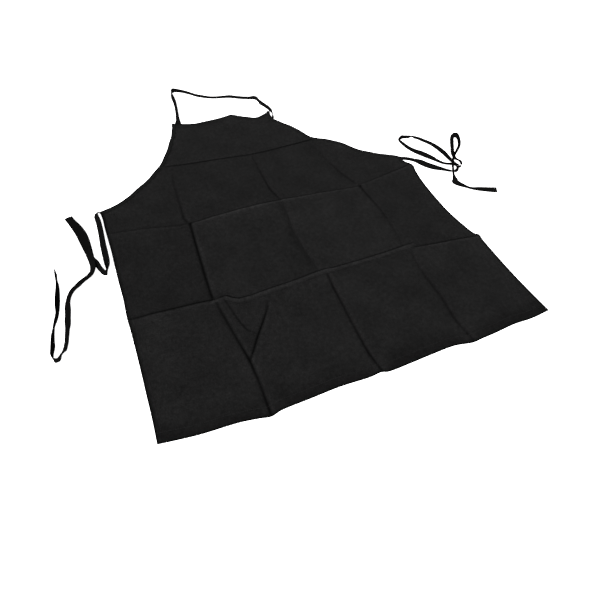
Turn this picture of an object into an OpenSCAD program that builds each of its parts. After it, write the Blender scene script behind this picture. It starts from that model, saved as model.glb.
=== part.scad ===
// Bib apron in plain black cloth, laid flat and face up.
// X runs across the apron, Y from the bottom hem to the bib, Z up from the floor.
// The origin is under the middle of the cloth, on the surface that it lies on.
// All lengths are in millimetres.

/* [Cloth] */
// Width of the skirt
panel_w = 700; // [640:10:800]
// Length from the bottom hem to the top of the bib
panel_l = 800; // [760:10:900]
// Width of the bib along its top
bib_w = 250; // [220:5:280]
// How far the bib lies off the middle of the skirt
bib_lean = -20; // [-30:5:30]
// Height of the left waist corner above the bottom hem
waist_left = 512; // [480:2:540]
// Height of the right waist corner above the bottom hem
waist_right = 498; // [480:2:540]
// Thickness of one layer of cloth
cloth_t = 0.6; // [0.4:0.1:0.8]
// Height of the fold crease above the bottom hem
crease_h = 225; // [180:5:260]

/* [Hems] */
// Width of the bottom hem
bottom_hem_w = 18; // [12:1:25]
// Width of the side hems
side_hem_w = 10; // [8:1:15]
// Width of the hem across the top of the bib
top_hem_w = 25; // [20:1:30]
// Width of the binding along the armholes
binding_w = 8; // [6:0.5:10]
// How far the stitching stays from a hem's inner edge
stitch_inset = 2; // [1:0.5:3]
// Width of a row of stitching
thread_w = 0.8; // [0.6:0.1:1]
// How far the thread stands above the cloth
thread_h = 0.25; // [0.2:0.05:0.4]

/* [Tapes] */
// Width of the neck strap and the ties
tape_w = 15; // [12:1:16]
// Thickness of the tape
tape_t = 1.0; // [0.8:0.1:1]
// Length of tape sewn down under the cloth
sewn_l = 24; // [18:1:24]
// Length of the hem turned over at a tie's free end
end_hem_l = 10; // [6:1:12]

/* [Hidden] */

CLOTH = [0.13, 0.13, 0.135];
EDGE = [0.17, 0.17, 0.175];
TAPE = [0.12, 0.12, 0.12];
THREAD = [0.2, 0.2, 0.2];

hem_t = 2 * cloth_t;             // two turned layers under the cloth
top_z = hem_t + cloth_t;         // upper face of the cloth
x0 = panel_w / 2;
y0 = -panel_l / 2;
y1 = panel_l / 2;
crease_y = y0 + crease_h;
crease_gap = 0.25;               // half of the slot that the fold turns in
stitch_clear = 5;                // stitching stops this far from the fold
bib_l = bib_lean - bib_w / 2;    // left corner of the bib
bib_r = bib_lean + bib_w / 2;    // right corner of the bib
left_y = y0 + waist_left;
right_y = y0 + waist_right;
strap_in = 13;                   // middle of the strap's left end from the bib's corner
strap_in_r = 10;                 // middle of its right end from the other corner
tie_in = tape_w / 2;             // middle of a tie's end below the waist corner
hinge_gap = 3;                   // the ties turn this far outside the side edge
N = 24;                          // steps along an armhole

// A cubic curve through four control points
function bez(p, t) = pow(1 - t, 3) * p[0] + 3 * t * pow(1 - t, 2) * p[1] + 3 * t * t * (1 - t) * p[2] + pow(t, 3) * p[3];
function slope(p, t) = 3 * pow(1 - t, 2) * (p[1] - p[0]) + 6 * t * (1 - t) * (p[2] - p[1]) + 3 * t * t * (p[3] - p[2]);
function unit(v) = v / norm(v);

left_arm = [[-x0, left_y], [-x0 + 110, left_y + 18], [bib_l - 45, y1 - 150], [bib_l, y1]];
right_arm = [[x0, right_y], [x0 - 88, right_y + 26], [bib_r + 50, y1 - 165], [bib_r, y1]];

// The armhole from its waist corner up, moved towards the cloth by inset
function arm(p, inset, inward) = [for (i = [0:N]) let (t = i / N, s = unit(slope(p, t))) bez(p, t) + inset * inward * [s[1], -s[0]]];
function reversed(a) = [for (i = [len(a) - 1:-1:0]) a[i]];
// inward is +1 where the cloth lies to the right of the way up the armhole, -1 where it lies to the left
function left_edge(inset) = arm(left_arm, inset, 1);
function right_edge(inset) = arm(right_arm, inset, -1);

module slab(z, h) { translate([0, 0, z]) linear_extrude(h) children(); }

// The cut cloth in plan, with the armholes moved in by the binding's own thickness
module cut_cloth() {
    polygon(concat([[-x0, y0], [-x0, left_y - 1]], left_edge(cloth_t), [[bib_l + 2, y1], [bib_r - 2, y1]], reversed(right_edge(cloth_t)), [[x0, right_y - 1], [x0, y0]]));
}
// A band in plan along an armhole, from inset a to inset b
module left_band(a, b) { polygon(concat(left_edge(a), reversed(left_edge(b)))); }
module right_band(a, b) { polygon(concat(right_edge(a), reversed(right_edge(b)))); }

module main_panel() {
    color(CLOTH) slab(hem_t, cloth_t) difference() {
        cut_cloth();
        translate([-x0 - 10, y0 - 10]) square([panel_w + 20, crease_h + 10 + crease_gap]);
    }
}
module lower_panel() {
    color(CLOTH) translate([-x0, y0, hem_t]) cube([panel_w, crease_h - crease_gap, cloth_t]);
}

module top_hem() {
    color(CLOTH) difference() {
        slab(0, hem_t) intersection() {
            cut_cloth();
            translate([-x0, y1 - top_hem_w]) square([panel_w, top_hem_w]);
        }
        for (x = [bib_l + strap_in, bib_r - strap_in_r])
            translate([x - tape_w / 2, y1 - sewn_l, -1]) cube([tape_w, sewn_l + 1, hem_t + 2]);
    }
}
module bottom_hem() { color(CLOTH) translate([-x0, y0, 0]) cube([panel_w, bottom_hem_w, hem_t]); }

// side is -1 for the left and +1 for the right
module side_strip(side, from_y, to_y) {
    color(CLOTH) translate([side < 0 ? -x0 : x0 - side_hem_w, from_y, 0]) cube([side_hem_w, to_y - from_y, hem_t]);
}
module left_side_hem() { side_strip(-1, crease_y + crease_gap, left_y - tie_in - tape_w / 2); }
module right_side_hem() { side_strip(1, crease_y + crease_gap, right_y - tie_in - tape_w / 2); }
module left_lower_side_hem() { side_strip(-1, y0 + bottom_hem_w, crease_y - crease_gap); }
module right_lower_side_hem() { side_strip(1, y0 + bottom_hem_w, crease_y - crease_gap); }

// The binding is folded over the armhole's raw edge: a layer on top, a wall and two layers below
module binding(corner_y, side) {
    color(EDGE) difference() {
        slab(0, top_z + cloth_t) children(0);
        slab(hem_t, cloth_t) children(1);
        translate([side < 0 ? -x0 - 1 : x0 - sewn_l - 1, corner_y - tape_w - 1, -1]) cube([sewn_l + 2, tape_w + 10, hem_t + 1]);
        translate([side < 0 ? -x0 - 1 : x0 - side_hem_w - 1, corner_y - tape_w - 1, -1]) cube([side_hem_w + 2, tape_w + 1, top_z + 5]);
        translate([-x0, y1 - top_hem_w, -1]) cube([panel_w, top_hem_w + 10, hem_t + 1]);
        translate([-x0, y1 - 0.01, -1]) cube([panel_w, 10, 10]);
    }
}
module left_armhole_binding() { binding(left_y, -1) { left_band(0, binding_w); left_band(cloth_t, binding_w + 5); } }
module right_armhole_binding() { binding(right_y, 1) { right_band(0, binding_w); right_band(cloth_t, binding_w + 5); } }

// Rows of thread lie on the upper face
module top_hem_stitching() {
    color(THREAD) translate([bib_l + 2, y1 - top_hem_w + stitch_inset, top_z])
        cube([bib_w - 4, thread_w, thread_h]);
}
module bottom_hem_stitching() {
    color(THREAD) translate([-x0 + 1, y0 + bottom_hem_w - stitch_inset, top_z]) cube([panel_w - 2, thread_w, thread_h]);
}
module side_row(side, from_y, to_y) {
    color(THREAD) translate([side * (x0 - side_hem_w + stitch_inset) - thread_w / 2, from_y, top_z]) cube([thread_w, to_y - from_y, thread_h]);
}
module left_side_stitching() { side_row(-1, crease_y + stitch_clear, left_y - tape_w - 2); }
module right_side_stitching() { side_row(1, crease_y + stitch_clear, right_y - tape_w - 2); }
module left_lower_side_stitching() { side_row(-1, y0 + bottom_hem_w, crease_y - stitch_clear); }
module right_lower_side_stitching() { side_row(1, y0 + bottom_hem_w, crease_y - stitch_clear); }
module arm_row() {
    color(THREAD) difference() {
        slab(top_z + cloth_t, thread_h) children();
        translate([-x0 - 1, y1 - 5, 0]) cube([panel_w + 2, 20, 10]);
        for (x = [-x0 - 1, x0 - side_hem_w - 4]) translate([x, y0, 0]) cube([side_hem_w + 5, panel_l, 10]);
    }
}
module left_armhole_stitching() { arm_row() left_band(binding_w - 1.8, binding_w - 1.8 + thread_w); }
module right_armhole_stitching() { arm_row() right_band(binding_w - 1.8, binding_w - 1.8 + thread_w); }

// Tape sewn down between the cloth and the floor
module strap_root(x) { color(TAPE) translate([x - tape_w / 2, y1 - sewn_l, hem_t - tape_t]) cube([tape_w, sewn_l, tape_t]); }
module neck_strap_left_root() { strap_root(bib_l + strap_in); }
module neck_strap_right_root() { strap_root(bib_r - strap_in_r); }
module tie_end(side, corner_y) {
    color(TAPE) translate([side < 0 ? -x0 : x0 - sewn_l, corner_y - tie_in - tape_w / 2, hem_t - tape_t]) cube([sewn_l, tape_w, tape_t]);
}
module left_tie_root() { tie_end(-1, left_y); }
module right_tie_root() { tie_end(1, right_y); }

// Two short bars of dense zigzag through cloth and tape
module bars(along, apart) {
    color(THREAD) for (s = [-1, 1])
        translate([s * apart / 2, 0, top_z + thread_h / 2])
            cube([1.8, along, thread_h], center = true);
}
module left_neck_bartack() { translate([bib_l + strap_in, y1 - 12, 0]) rotate(90) bars(tape_w - 3, 10); }
module right_neck_bartack() { translate([bib_r - strap_in_r - 2.5, y1 - 12, 0]) rotate(90) bars(tape_w - 3, 10); }
module left_waist_bartack() { translate([-x0 + sewn_l / 2 + 4, left_y - tie_in - 4, 0]) bars(6, 10); }
module right_waist_bartack() { translate([x0 - sewn_l / 2 - 4, right_y - tie_in - 4, 0]) bars(6, 10); }

// A flat tape along a route. Each route point is [x, y, lift, bank, width]: lift is the tape's lowest
// edge above the floor and bank the turn about its own run, 0 for flat and 90 for on its edge.
SECTION = [[1, -0.4], [1, 0.4], [0.92, 1], [-0.92, 1], [-1, 0.4], [-1, -0.4], [-0.92, -1], [0.92, -1]];
function wide(q) = len(q) > 4 ? q[4] : tape_w;
function middle(q) = [q[0], q[1], q[2] + wide(q) / 2 * abs(sin(q[3])) + tape_t / 2 * abs(cos(q[3]))];
function step(r, i) = middle(r[min(i + 1, len(r) - 1)]) - middle(r[max(i - 1, 0)]);
function across(r, i) = let (d = step(r, i)) unit([-d[1], d[0], 0]);
function sides(r, i, last) = i == len(r) ? [] : let (a = across(r, i), s = a * last < 0 ? -a : a) concat([s], sides(r, i + 1, s));
function ring(r, s, i) = let (
        run = unit(step(r, i)),
        side = s[i],
        up0 = cross(run, side),
        up = up0 / norm(up0),
        b = r[i][3],
        w = side * cos(b) + up * sin(b),
        t = cross(run, w)
    ) [for (p = SECTION) middle(r[i]) + w * p[0] * wide(r[i]) / 2 + t / norm(t) * p[1] * tape_t / 2];
module tape(r) {
    s = sides(r, 0, across(r, 0));
    n = len(r);
    pts = [for (i = [0:n - 1]) each ring(r, s, i)];
    faces = concat(
        // the two flat sides are split along the same diagonal, so that a twisted stretch keeps its thickness
        [for (i = [0:n - 2]) for (k = [0:7]) each let (a = 8 * i + k, b = 8 * i + (k + 1) % 8)
            k < 4 ? [[a, b, b + 8], [a, b + 8, a + 8]] : [[a, b, a + 8], [b, b + 8, a + 8]]],
        [[7, 6, 5, 4, 3, 2, 1, 0]],
        [[for (k = [0:7]) 8 * (n - 1) + k]]
    );
    polyhedron(points = pts, faces = [for (f = faces) reversed(f)], convexity = 10);
}

// Neck strap, from the left corner of the bib round to the right one. X from the middle, Y from the bib's top.
strap_route = [
    [-132, 1, 0, 0], [-132, 9, 0, -8], [-128, 23, 0, -35], [-125, 38, 0, -56], [-122, 61, 0, -68], [-119, 85, 0, -73],
    [-118, 106, 0, -78], [-118, 125, 0, -82], [-117, 140, 0, -85], [-111, 151, 0, -72], [-104, 155, 0, -58], [-96, 153, 0, -46],
    [-87, 147, 0, -43], [-76, 137, 0, -44], [-66, 126, 0, -45], [-55, 115, 0, -46], [-42, 106, 0, -47], [-25, 97, 0, -48],
    [-5, 91, 0, -49], [13, 89, 0, -51], [26, 87, 0, -54], [41, 80, 0, -54], [58, 72, 0, -52], [75, 67, 0, -53],
    [87, 63, 0, -62], [92, 53, 0, -74], [94, 39, 0, -72], [98, 26, 0, -40], [97, 17, 0, -18], [95, 9, 0, -6],
    [95, 1, 0, 0]
];
// Left tie, from its pivot just outside the waist corner. It doubles back along itself at [-60, 15].
left_route = [
    [0, 0, 0, 0, 5], [-3, -4, 0, 15, 8], [-6, -11, 0, 40, 12], [-8, -21, 0, 55], [-9, -36, 0, 55], [-8, -55, 0, 55],
    [-8, -75, 0, 50], [-8, -95, 0, 50], [-8, -113, 0, 50], [-8, -130, 0, 55], [-8, -146, 0, 60], [-9, -158, 0, 72],
    [-12, -166, 0, 88], [-17, -165, 0, 98], [-21, -156, 0, 105], [-24, -143, 0, 110], [-28, -132, 0, 120], [-31, -121, 0, 135],
    [-34, -108, 0, 155], [-37, -90, 0, 175], [-41, -65, 0, 180], [-45, -42, 0, 180], [-51, -19, 0, 180], [-56, -2, 0, 180],
    [-60, 11, 0, 180], [-60.5, 12.5, 0.95, 180], [-59.9, 10.7, 1.9, 180], [-56, -2, 1.9, 180], [-51, -19, 1.9, 180], [-45, -42, 1.9, 180],
    [-41, -65, 1.9, 180], [-37, -91, 2.6, 185], [-34.6, -109, 3, 203], [-33.4, -123, 1.8, 219], [-33, -136, 0.6, 222], [-34, -148, 0, 215],
    [-41, -158, 0, 200], [-50, -166, 0, 200], [-57, -173, 0, 200], [-66, -179, 0, 200], [-72, -186, 0, 200], [-77, -195, 0, 210],
    [-80, -208, 0, 225], [-82, -221, 0, 215], [-84, -233, 0, 205], [-85, -248, 0, 200], [-86, -261, 0, 210], [-87, -275, 0, 225],
    [-89, -287, 0, 240], [-91, -299, 0, 250], [-94, -309, 0, 255], [-98, -317, 0, 265], [-103, -324, 0, 270], [-109, -326, 0, 270],
    [-114, -321, 0, 280], [-115, -313, 0, 290], [-113, -303, 0, 305], [-111, -293, 0, 315], [-110, -282, 0, 305], [-108, -271, 0, 290],
    [-106, -260, 0, 285], [-104, -248, 0, 285], [-100, -234, 0, 295], [-98, -218, 0, 310], [-96, -201, 0, 320], [-94, -185, 0, 310],
    [-93, -169, 0, 295], [-93, -156, 0, 290], [-93, -143, 0, 290]
];
// Right tie, from its pivot: a low loop, the long loop, the small loop, the far loop and the tail.
right_route = [
    [0, 0, 0, 0, 5], [6, -1, 0, 0, 8], [12, -6, 0, 8, 12], [18, -16, 0, 20], [24, -26, 0, 24], [30, -34, 0, 24],
    [39, -42, 0, 20], [50, -48, 0, 6], [59, -55, 0, -8], [67, -63, 0, -12], [74, -68, 0, 0], [81, -70, 0, 35],
    [85, -67, 0, 65], [88, -60, 0, 52], [90, -50, 0, 14], [86, -43, 0, 12], [78, -38, 0, 16], [70, -34, 0, 18],
    [64, -25, 0, 16], [60, -15, 0, 10], [56, -3, 0, 0], [49, 8, 0, -6], [40, 22, 0, -6], [31, 35, 0, 3],
    [24, 47, 0, 10], [19, 61, 0, 18], [15, 73, 0, 36], [14, 80, 0, 62], [20, 87, 0, 85], [28, 88, 0, 104],
    [39, 88, 0, 130], [52, 89, 0, 156], [62, 86, 0, 160], [69, 79, 0, 164], [75, 70, 0, 166], [84, 59, 0, 170],
    [90, 46, 0, 172], [95, 30, 0, 176], [98, 12, 0, 180], [98, -3, 0, 178], [96, -20, 1.2, 175], [94, -33, 2.6, 172],
    [93, -44, 3.2, 166], [95, -51, 3, 152], [100, -57, 1.6, 122], [107, -58, 0.5, 95], [112, -53, 0, 74], [112, -43, 0, 48],
    [111, -33, 0, 28], [110, -23, 0, 20], [113, -10, 0, 35], [121, 5, 0, 40], [136, 28, 0, 32], [149, 47, 0, 34],
    [157, 57, 0, 52], [162, 59, 0, 82], [168, 58, 0, 94], [167, 50, 0, 92], [162, 39, 0, 88], [152, 22, 0, 82],
    [142, 10, 0, 72], [125, -6, 4.2, 64], [109, -21, 6.8, 66], [94, -35, 7.6, 71], [82, -49, 7.2, 80], [74, -62, 6, 88],
    [67, -74, 4.2, 90], [61, -85, 2, 90], [56, -94, 0, 86], [52, -104, 0, 60], [55, -109, 0, 22], [61, -116, 0, 6],
    [66, -123, 0, -5], [71, -131, 0, -14], [76, -137, 0, -15], [84, -141, 0, -10], [96, -144, 0, -2], [108, -150, 0, 3],
    [120, -155, 0, 6], [131, -160, 0, 8]
];
module neck_strap() { color(TAPE) translate([0, y1, 0]) tape(strap_route); }
module left_waist_tie() { color(TAPE) translate([-x0 - hinge_gap, left_y - tie_in, 0]) tape(left_route); }
module right_waist_tie() { color(TAPE) translate([x0 + hinge_gap, right_y - tie_in, 0]) tape(right_route); }

// The free end of a tie turned over and stitched down, on the upper face of a route's last stretch
module end_hem(r) {
    a = r[len(r) - 2]; b = r[len(r) - 1];
    translate(middle(b)) rotate(atan2(b[1] - a[1], b[0] - a[0])) rotate([b[3], 0, 0])
        translate([-end_hem_l, -tape_w * 0.45, cos(b[3]) < 0 ? -tape_t / 2 - 0.7 : tape_t / 2]) cube([end_hem_l, tape_w * 0.9, 0.7]);
}
module left_tie_end_hem() { color(TAPE) translate([-x0 - hinge_gap, left_y - tie_in, 0]) end_hem(left_route); }
module right_tie_end_hem() { color(TAPE) translate([x0 + hinge_gap, right_y - tie_in, 0]) end_hem(right_route); }

main_panel();
lower_panel();
top_hem();
bottom_hem();
left_side_hem();
right_side_hem();
left_lower_side_hem();
right_lower_side_hem();
left_armhole_binding();
right_armhole_binding();
top_hem_stitching();
bottom_hem_stitching();
left_side_stitching();
right_side_stitching();
left_lower_side_stitching();
right_lower_side_stitching();
left_armhole_stitching();
right_armhole_stitching();
neck_strap();
left_waist_tie();
right_waist_tie();
left_tie_end_hem();
right_tie_end_hem();
neck_strap_left_root();
neck_strap_right_root();
left_tie_root();
right_tie_root();
left_neck_bartack();
right_neck_bartack();
left_waist_bartack();
right_waist_bartack();
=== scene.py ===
"""Bib apron in plain black cloth, laid flat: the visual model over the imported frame. Metres throughout, unless a name ends in _mm."""
import math
import random

import bpy
import numpy as np
from mathutils import Matrix, Vector
from mathutils.geometry import delaunay_2d_cdt
from mathutils.kdtree import KDTree


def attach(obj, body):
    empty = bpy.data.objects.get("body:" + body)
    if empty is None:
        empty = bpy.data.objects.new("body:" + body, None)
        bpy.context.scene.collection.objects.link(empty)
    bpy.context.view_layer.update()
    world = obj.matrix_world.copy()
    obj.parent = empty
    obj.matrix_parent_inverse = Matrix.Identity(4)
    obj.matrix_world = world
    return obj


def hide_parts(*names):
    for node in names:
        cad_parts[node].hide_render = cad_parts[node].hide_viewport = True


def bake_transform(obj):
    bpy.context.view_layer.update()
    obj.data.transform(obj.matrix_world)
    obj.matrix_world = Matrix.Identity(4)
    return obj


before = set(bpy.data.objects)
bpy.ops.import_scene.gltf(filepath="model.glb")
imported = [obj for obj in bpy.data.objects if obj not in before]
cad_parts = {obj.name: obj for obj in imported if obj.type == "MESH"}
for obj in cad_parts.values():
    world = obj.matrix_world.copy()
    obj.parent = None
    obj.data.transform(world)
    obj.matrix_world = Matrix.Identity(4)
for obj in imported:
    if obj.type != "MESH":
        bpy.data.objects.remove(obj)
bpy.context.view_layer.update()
scene = bpy.context.scene
rng = random.Random(41)

# ------------------------------------------------------------------------------------------------ camera
CAM = np.array([-315.51, -715.85, 642.26])
ROWS = ((0.92195228, -0.38112884, 0.06888253), (-0.24938998, -0.72026701, -0.6473176), (0.29632522, 0.57961733, -0.75910152))
camera = bpy.data.objects.new("camera", bpy.data.cameras.new("camera"))
scene.collection.objects.link(camera)
camera.data.sensor_width = 36.0
camera.data.lens = 482.95 / 600 * 36.0
camera.data.clip_start = 0.02
camera.data.clip_end = 60
right, down, ahead = (Vector(r) for r in ROWS)
place = Matrix((right, -down, -ahead)).transposed().to_4x4()
place.translation = Vector(CAM / 1000)
camera.matrix_world = place
scene.camera = camera
scene.view_settings.view_transform = "Standard"
scene.view_settings.look = "None"
scene.view_settings.exposure = 0.0
scene.view_settings.gamma = 1.0


# ------------------------------------------------------------------------------------------------ materials
class Nodes:
    """Short hand for building a node tree."""

    def __init__(self, name):
        self.mat = bpy.data.materials.new(name)
        self.mat.use_nodes = True
        self.tree = self.mat.node_tree
        self.tree.nodes.clear()
        self.out = self.tree.nodes.new("ShaderNodeOutputMaterial")
        self.bsdf = self.tree.nodes.new("ShaderNodeBsdfPrincipled")
        self.tree.links.new(self.bsdf.outputs[0], self.out.inputs[0])

    def link(self, a, b):
        if hasattr(a, "is_linked") or hasattr(a, "links"):
            self.tree.links.new(a, b)
        else:
            b.default_value = a

    def math(self, op, a, b=0.0, c=None, clamp=False):
        n = self.tree.nodes.new("ShaderNodeMath")
        n.operation = op
        n.use_clamp = clamp
        self.link(a, n.inputs[0])
        self.link(b, n.inputs[1])
        if c is not None:
            self.link(c, n.inputs[2])
        return n.outputs[0]

    def uv(self, name="weave"):
        n = self.tree.nodes.new("ShaderNodeUVMap")
        n.uv_map = name
        s = self.tree.nodes.new("ShaderNodeSeparateXYZ")
        self.tree.links.new(n.outputs[0], s.inputs[0])
        return n.outputs[0], s.outputs[0], s.outputs[1]

    def noise(self, vector, scale, detail=2.0, rough=0.5, stretch=(1, 1, 1)):
        m = self.tree.nodes.new("ShaderNodeMapping")
        m.inputs["Scale"].default_value = stretch
        self.tree.links.new(vector, m.inputs["Vector"])
        n = self.tree.nodes.new("ShaderNodeTexNoise")
        n.inputs["Scale"].default_value = scale
        n.inputs["Detail"].default_value = detail
        n.inputs["Roughness"].default_value = rough
        self.tree.links.new(m.outputs[0], n.inputs["Vector"])
        return n.outputs[0]

    def remap(self, value, a, b, lo, hi):
        n = self.tree.nodes.new("ShaderNodeMapRange")
        n.inputs["From Min"].default_value = a
        n.inputs["From Max"].default_value = b
        n.inputs["To Min"].default_value = lo
        n.inputs["To Max"].default_value = hi
        self.tree.links.new(value, n.inputs["Value"])
        return n.outputs[0]

    def bump(self, height, distance, strength, under=None):
        n = self.tree.nodes.new("ShaderNodeBump")
        n.inputs["Distance"].default_value = distance
        n.inputs["Strength"].default_value = strength
        self.link(height, n.inputs["Height"])
        if under is not None:
            self.tree.links.new(under, n.inputs["Normal"])
        return n.outputs[0]

    def grey(self, level, tint=(1.0, 1.0, 1.0)):
        """A colour of that level, slightly tinted."""
        n = self.tree.nodes.new("ShaderNodeCombineColor")
        for k in range(3):
            self.link(self.math("MULTIPLY", level, tint[k]), n.inputs[k])
        return n.outputs[0]

    def attribute(self, name):
        n = self.tree.nodes.new("ShaderNodeAttribute")
        n.attribute_type = "GEOMETRY"
        n.attribute_name = name
        return n.outputs["Fac"]

    def principled(self, **values):
        for key, value in values.items():
            self.bsdf.inputs[key.replace("_", " ")].default_value = value


def weave(m, u, v, pitch):
    """Height of a plain weave: warp and weft yarns that pass over and under each other."""
    k = math.pi / pitch
    su, sv = m.math("SINE", m.math("MULTIPLY", u, k)), m.math("SINE", m.math("MULTIPLY", v, k))
    over = m.math("GREATER_THAN", m.math("MULTIPLY", su, sv), 0.0)
    warp = m.math("MULTIPLY", m.math("ABSOLUTE", su), over)
    weft = m.math("MULTIPLY", m.math("ABSOLUTE", sv), m.math("SUBTRACT", 1.0, over))
    return m.math("ADD", warp, weft)


def cloth_material():
    m = Nodes("black_woven_cloth")
    vec, u, v = m.uv()
    w = weave(m, u, v, 0.00075)
    # uneven yarns run along the warp and the weft
    warp = m.noise(vec, 900, 2, 0.6, (1.0, 0.09, 1))
    weft = m.noise(vec, 900, 2, 0.6, (0.09, 1.0, 1))
    yarn = m.math("ADD", m.math("MULTIPLY", warp, 0.5), m.math("MULTIPLY", weft, 0.5))
    grain = m.noise(vec, 420, 3, 0.65)
    patch = m.noise(vec, 17, 3, 0.55)
    level = m.math("MULTIPLY", m.remap(yarn, 0.3, 0.7, 0.68, 1.32), m.remap(grain, 0.3, 0.7, 0.64, 1.36))
    level = m.math("MULTIPLY", level, m.remap(patch, 0.3, 0.7, 0.82, 1.18))
    level = m.math("MULTIPLY", level, m.remap(m.noise(vec, 130, 3, 0.6), 0.3, 0.7, 0.78, 1.22))
    level = m.math("MULTIPLY", level, m.remap(w, 0.0, 1.0, 0.78, 1.08))
    # the attribute read here paints light and shade into the cloth's colour: painted shade in the folds and along the
    # edges, painted highlights on the crests
    level = m.math("MULTIPLY", level, m.attribute("painted_shading"))
    m.link(m.grey(m.math("MULTIPLY", level, CLOTH_LEVEL), (1.0, 0.985, 0.985)), m.bsdf.inputs["Base Color"])
    m.link(m.remap(grain, 0.3, 0.7, 0.74, 0.88), m.bsdf.inputs["Roughness"])
    m.principled(Specular_IOR_Level=0.02, Sheen_Weight=0.0, Sheen_Roughness=0.45)
    m.bsdf.inputs["Sheen Tint"].default_value = (0.75, 0.75, 0.78, 1)
    n1 = m.bump(m.math("ADD", m.math("MULTIPLY", grain, 0.6), m.math("MULTIPLY", yarn, 0.4)), 0.00032, 0.75)
    m.link(m.bump(w, 0.00016, 0.7, n1), m.bsdf.inputs["Normal"])
    return m.mat


def tape_material(name, level, pitch=0.0009, tint=(1.0, 0.985, 0.98)):
    m = Nodes(name)
    vec, u, v = m.uv()
    # a herringbone of fine slanting yarns that change direction across the tape
    side = m.math("ABSOLUTE", m.math("SUBTRACT", m.math("FRACT", m.math("MULTIPLY", v, 1 / 0.005)), 0.5))
    slant = m.math("ADD", m.math("MULTIPLY", u, 2 * math.pi / pitch), m.math("MULTIPLY", side, 2 * math.pi * 0.0025 / pitch * 2))
    ribs = m.math("MULTIPLY_ADD", m.math("SINE", slant), 0.5, 0.5)
    picks = m.math("MULTIPLY_ADD", m.math("SINE", m.math("MULTIPLY", u, 2 * math.pi / 0.0006)), 0.5, 0.5)
    grain = m.noise(vec, 700, 3, 0.6)
    patch = m.noise(vec, 40, 2, 0.5)
    shade = m.math("MULTIPLY", m.remap(ribs, 0, 1, 0.82, 1.1), m.remap(grain, 0.3, 0.7, 0.85, 1.15))
    shade = m.math("MULTIPLY", shade, m.remap(patch, 0.3, 0.7, 0.9, 1.1))
    m.link(m.grey(m.math("MULTIPLY", shade, level), tint), m.bsdf.inputs["Base Color"])
    m.link(m.remap(grain, 0.3, 0.7, 0.70, 0.86), m.bsdf.inputs["Roughness"])
    m.principled(Specular_IOR_Level=0.0, Sheen_Weight=0.0, Sheen_Roughness=0.4)
    n1 = m.bump(m.math("ADD", m.math("MULTIPLY", ribs, 0.7), m.math("MULTIPLY", picks, 0.3)), 0.00014, 0.8)
    m.link(m.bump(grain, 0.00015, 0.5, n1), m.bsdf.inputs["Normal"])
    return m.mat


def thread_material(name, level):
    m = Nodes(name)
    vec, u, v = m.uv()
    ply = m.math("MULTIPLY_ADD", m.math("SINE", m.math("ADD", m.math("MULTIPLY", u, 2 * math.pi / 0.0006), m.math("MULTIPLY", v, 2 * math.pi / 0.0008))), 0.5, 0.5)
    fuzz = m.noise(vec, 1500, 2, 0.6)
    m.link(m.grey(m.math("MULTIPLY", m.math("MULTIPLY", m.remap(ply, 0, 1, 0.75, 1.2), m.remap(fuzz, 0.3, 0.7, 0.85, 1.15)), level)), m.bsdf.inputs["Base Color"])
    m.link(m.remap(fuzz, 0.3, 0.7, 0.5, 0.7), m.bsdf.inputs["Roughness"])
    m.principled(Specular_IOR_Level=0.05, Sheen_Weight=0.0, Sheen_Roughness=0.4)
    m.link(m.bump(ply, 0.0001, 0.9), m.bsdf.inputs["Normal"])
    return m.mat


CLOTH_LEVEL = 0.0054
CLOTH = cloth_material()
BINDING = tape_material("black_binding_tape", 0.0046)
TAPE = tape_material("black_strap_tape", 0.0024)
THREAD = thread_material("black_sewing_thread", 0.0068)


# ------------------------------------------------------------------------------------------------ mesh helpers
def make(name, verts_mm, faces, material, uv=None, painted_shading=None):
    """A smooth-shaded mesh object from points in millimetres. uv is one pair in metres for each point."""
    mesh = bpy.data.meshes.new(name)
    pts = np.asarray(verts_mm, float) / 1000
    mesh.from_pydata(pts.tolist(), [], [list(map(int, f)) for f in faces])
    mesh.validate()
    mesh.update()
    mesh.polygons.foreach_set("use_smooth", np.ones(len(mesh.polygons), bool))
    layer = mesh.uv_layers.new(name="weave")
    uv = pts[:, :2] if uv is None else np.asarray(uv, float)
    index = np.empty(len(mesh.loops), int)
    mesh.loops.foreach_get("vertex_index", index)
    layer.data.foreach_set("uv", uv[index].astype(np.float32).ravel())
    if painted_shading is not None:
        a = mesh.attributes.new("painted_shading", "FLOAT", "POINT")
        a.data.foreach_set("value", np.asarray(painted_shading, np.float32))
    obj = bpy.data.objects.new(name, mesh)
    scene.collection.objects.link(obj)
    mesh.materials.append(material)
    return obj


def tube(rings, closed_ends=True):
    """Faces for rings of equal length, each a closed loop, given as one array (rings, points, 3)."""
    n, k = rings.shape[:2]
    faces = []
    for i in range(n - 1):
        for j in range(k):
            a, b = i * k + j, i * k + (j + 1) % k
            faces.append((a, b, b + k, a + k))
    if closed_ends:
        faces.append(tuple(range(k - 1, -1, -1)))
        faces.append(tuple((n - 1) * k + j for j in range(k)))
    return faces


def unit(v):
    return v / np.maximum(np.linalg.norm(v, axis=-1, keepdims=True), 1e-9)


def smooth_step(a, b, x):
    t = np.clip((x - a) / (b - a), 0, 1)
    return t * t * (3 - 2 * t)


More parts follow.
